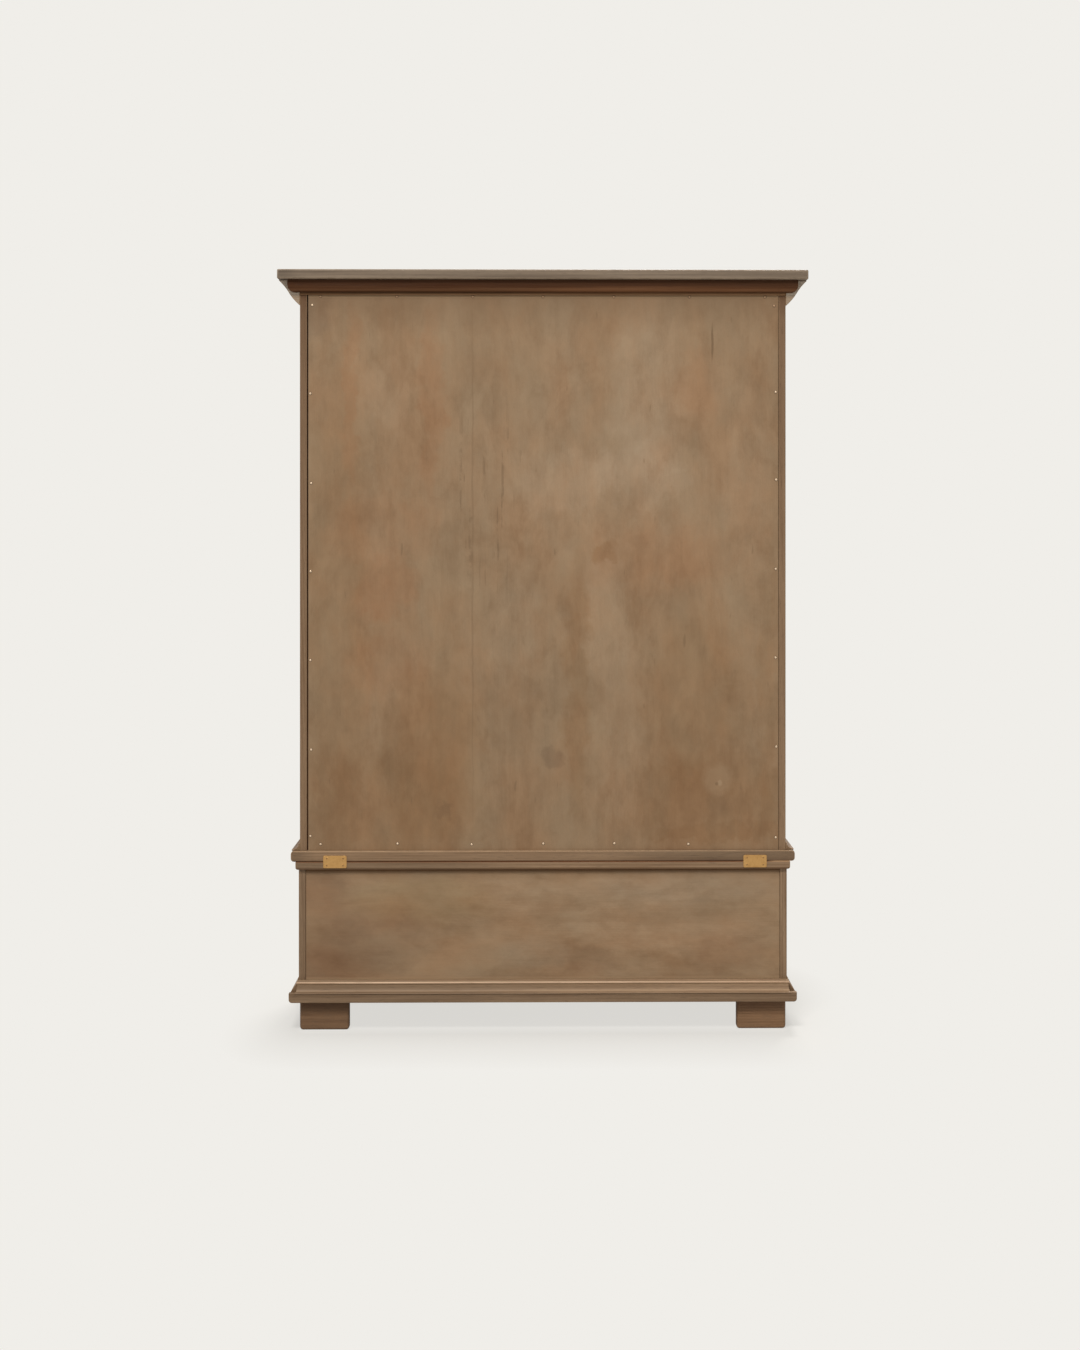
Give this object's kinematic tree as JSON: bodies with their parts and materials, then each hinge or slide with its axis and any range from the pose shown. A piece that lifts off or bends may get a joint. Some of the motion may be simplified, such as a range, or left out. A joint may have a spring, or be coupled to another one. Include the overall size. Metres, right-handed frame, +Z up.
{
  "type": "tall cabinet",
  "caption": "Tall freestanding cabinet in wood: a shelved upper case with panelled doors under a cornice, on a chest with a wide drawer and bracket feet.",
  "frame": {"origin": "on the floor, at the centre of the cabinet's footprint box", "axes": "+Z up, -Y towards the doors, +Y towards the back, +X to the right of someone facing the doors"},
  "size_m": [1.366, 0.544, 1.96],
  "materials": {
    "stained_hardwood": "brown stain, dull with age",
    "dark_stained_hardwood": "dark brown stain",
    "slab_hardwood": "grey-brown stain, worn",
    "aged_plywood": "thin brown wash on plywood",
    "drawer_softwood": "bare softwood",
    "brass": "aged brass"
  },
  "bodies": {
    "carcass": {"cornice_slab": "slab_hardwood", "cornice_crown_front": "stained_hardwood", "cornice_crown_left": "stained_hardwood", "cornice_crown_right": "stained_hardwood", "cornice_back_rail": "dark_stained_hardwood", "upper_side_left": "stained_hardwood", "upper_side_right": "stained_hardwood", "frieze_rail": "stained_hardwood", "upper_roof_board": "stained_hardwood", "upper_floor_board": "stained_hardwood", "upper_back_panel": "aged_plywood", "shelf_lower": "stained_hardwood", "shelf_middle": "stained_hardwood", "shelf_upper": "stained_hardwood", "hinge_lower_left_frame_leaf": "brass", "hinge_upper_left_frame_leaf": "brass", "hinge_lower_right_frame_leaf": "brass", "hinge_upper_right_frame_leaf": "brass", "waist_board": "stained_hardwood", "waist_cove_front": "stained_hardwood", "waist_cove_left": "stained_hardwood", "waist_cove_right": "stained_hardwood", "chest_top_board": "stained_hardwood", "mending_plate_left": "brass", "mending_plate_right": "brass", "chest_side_left": "stained_hardwood", "chest_side_right": "stained_hardwood", "chest_floor_board": "stained_hardwood", "chest_back_panel": "aged_plywood", "base_moulding_front": "stained_hardwood", "base_moulding_left": "stained_hardwood", "base_moulding_right": "stained_hardwood", "base_moulding_back": "stained_hardwood", "foot_back_left": "stained_hardwood", "foot_back_right": "stained_hardwood", "foot_front_left": "stained_hardwood", "foot_front_right": "stained_hardwood"},
    "door_left": {"door_left_hinge_stile": "stained_hardwood", "door_left_meeting_stile": "stained_hardwood", "door_left_bottom_rail": "stained_hardwood", "door_left_top_rail": "stained_hardwood", "door_left_panel": "stained_hardwood", "door_left_knob": "brass", "hinge_lower_left_door_leaf": "brass", "hinge_upper_left_door_leaf": "brass"},
    "door_right": {"door_right_hinge_stile": "stained_hardwood", "door_right_meeting_stile": "stained_hardwood", "door_right_bottom_rail": "stained_hardwood", "door_right_top_rail": "stained_hardwood", "door_right_panel": "stained_hardwood", "door_right_knob": "brass", "hinge_lower_right_door_leaf": "brass", "hinge_upper_right_door_leaf": "brass"},
    "drawer": {"drawer_front": "stained_hardwood", "drawer_side_left": "drawer_softwood", "drawer_side_right": "drawer_softwood", "drawer_back": "drawer_softwood", "drawer_bottom": "aged_plywood", "drawer_knob_left": "brass", "drawer_knob_right": "brass"}
  },
  "joints": [
    {"name": "door_left_hinge", "type": "hinge", "parent": "carcass", "child": "door_left", "pos_m": [-0.58075, -0.2215, 0.4908], "axis": [0, 0, -1], "range_deg": [0, 165]},
    {"name": "door_right_hinge", "type": "hinge", "parent": "carcass", "child": "door_right", "pos_m": [0.58075, -0.2215, 0.4908], "axis": [0, 0, 1], "range_deg": [0, 165]},
    {"name": "drawer_slide", "type": "slide", "parent": "carcass", "child": "drawer", "axis": [0, -1, 0], "range_m": [0, 0.34]}
  ]
}
